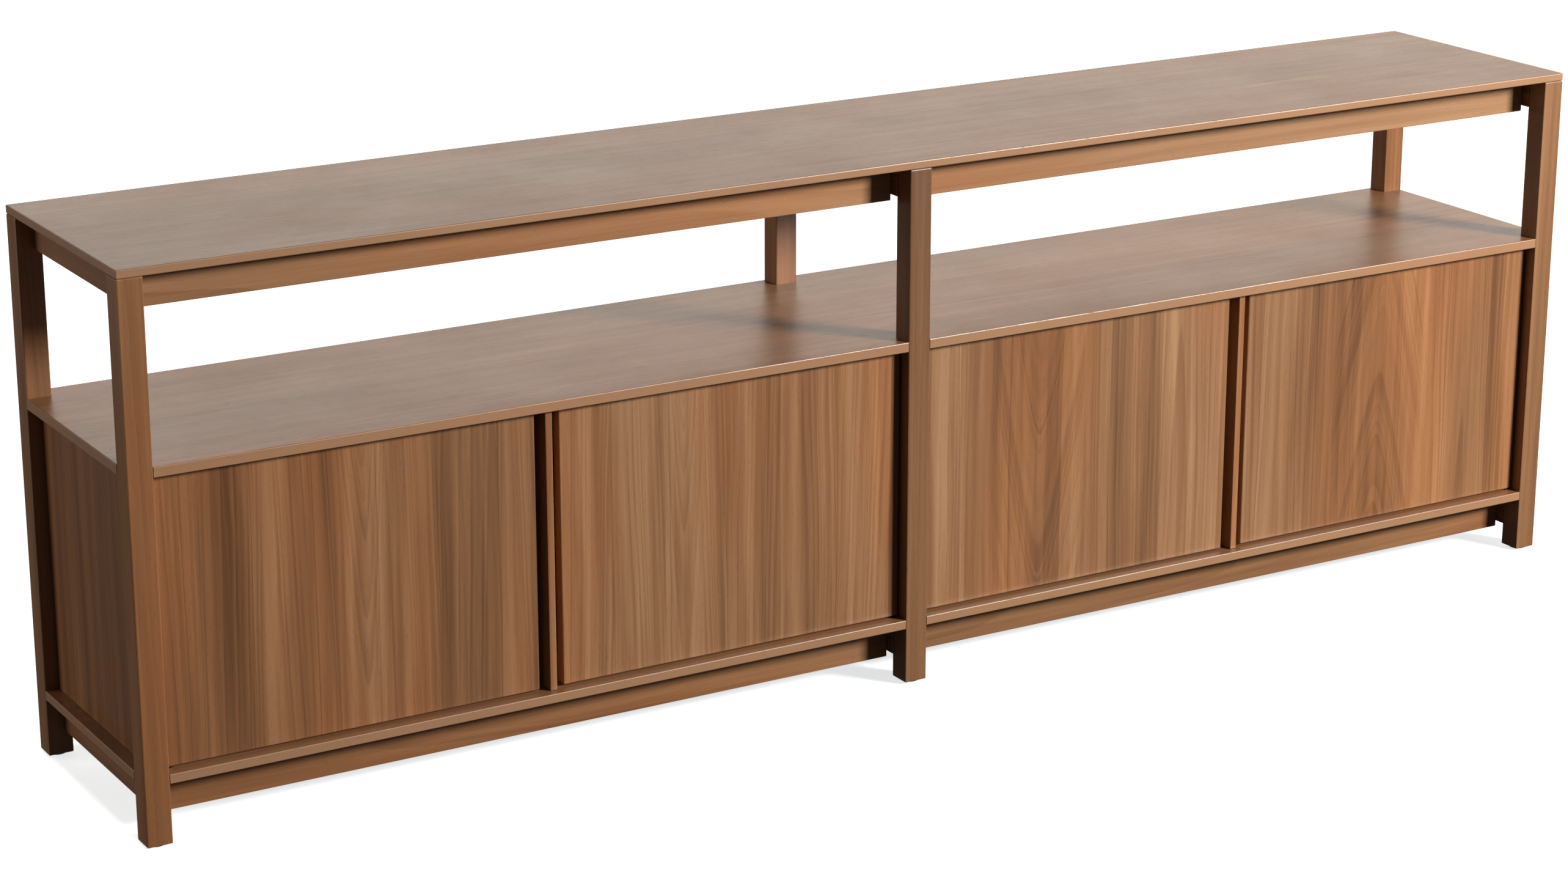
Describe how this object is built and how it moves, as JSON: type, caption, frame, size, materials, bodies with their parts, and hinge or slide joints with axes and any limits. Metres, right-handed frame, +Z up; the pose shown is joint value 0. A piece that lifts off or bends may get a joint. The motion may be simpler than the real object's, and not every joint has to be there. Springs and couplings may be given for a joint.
{
  "type": "media cabinet",
  "caption": "Long low media cabinet on square posts, with a thin top, an open upper tier, and two bays below closed by pairs of pin-hung doors.",
  "frame": {"origin": "centre of the footprint at floor level", "axes": "+X along the length to the right as seen from the front, +Y from the doors to the back, +Z up"},
  "size_m": [2.464, 0.42, 0.809],
  "materials": {
    "frame_walnut": "satin oiled walnut",
    "top_walnut": "satin lacquered walnut",
    "panel_walnut": "satin walnut with upright grain",
    "stile_walnut": "satin walnut",
    "inner_walnut": "matt walnut board",
    "glide_nylon": "matt black",
    "pin_steel": "brushed"
  },
  "bodies": {
    "case": {"post_front_left": "frame_walnut", "post_front_centre": "frame_walnut", "post_front_right": "frame_walnut", "post_back_left": "frame_walnut", "post_back_centre": "frame_walnut", "post_back_right": "frame_walnut", "glide_front_left": "glide_nylon", "glide_front_centre": "glide_nylon", "glide_front_right": "glide_nylon", "glide_back_left": "glide_nylon", "glide_back_centre": "glide_nylon", "glide_back_right": "glide_nylon", "upper_cross_rail_left": "frame_walnut", "upper_cross_rail_centre": "frame_walnut", "upper_cross_rail_right": "frame_walnut", "lower_cross_rail_left": "frame_walnut", "lower_cross_rail_centre": "frame_walnut", "lower_cross_rail_right": "frame_walnut", "upper_rail_front_left": "frame_walnut", "upper_rail_front_right": "frame_walnut", "upper_rail_back_left": "frame_walnut", "upper_rail_back_right": "frame_walnut", "lower_rail_front_left": "frame_walnut", "lower_rail_front_right": "frame_walnut", "lower_rail_back_left": "frame_walnut", "lower_rail_back_right": "frame_walnut", "top_panel": "top_walnut", "shelf_panel": "top_walnut", "bottom_panel": "frame_walnut", "end_panel_left": "panel_walnut", "end_panel_right": "panel_walnut", "centre_partition": "inner_walnut", "divider_left": "inner_walnut", "divider_right": "inner_walnut", "back_panel_left": "inner_walnut", "back_panel_right": "inner_walnut", "inner_shelf_1": "inner_walnut", "inner_shelf_2": "inner_walnut", "inner_shelf_3": "inner_walnut", "inner_shelf_4": "inner_walnut", "hinge_pin_1_top": "pin_steel", "hinge_pin_1_bottom": "pin_steel", "hinge_pin_2_top": "pin_steel", "hinge_pin_2_bottom": "pin_steel", "hinge_pin_3_top": "pin_steel", "hinge_pin_3_bottom": "pin_steel", "hinge_pin_4_top": "pin_steel", "hinge_pin_4_bottom": "pin_steel", "stile_left": "stile_walnut", "stile_right": "stile_walnut"},
    "leaf_1": {"door_1": "panel_walnut"},
    "leaf_2": {"door_2": "panel_walnut"},
    "leaf_3": {"door_3": "panel_walnut"},
    "leaf_4": {"door_4": "panel_walnut"}
  },
  "joints": [
    {"name": "door_1_swing", "type": "hinge", "parent": "case", "child": "leaf_1", "pos_m": [-1.186, -0.1835, 0.106], "axis": [0, 0, -1], "range_deg": [0, 90]},
    {"name": "door_2_swing", "type": "hinge", "parent": "case", "child": "leaf_2", "pos_m": [-0.0275, -0.1835, 0.106], "axis": [0, 0, 1], "range_deg": [0, 90]},
    {"name": "door_3_swing", "type": "hinge", "parent": "case", "child": "leaf_3", "pos_m": [0.0275, -0.1835, 0.106], "axis": [0, 0, -1], "range_deg": [0, 90]},
    {"name": "door_4_swing", "type": "hinge", "parent": "case", "child": "leaf_4", "pos_m": [1.186, -0.1835, 0.106], "axis": [0, 0, 1], "range_deg": [0, 90]}
  ]
}
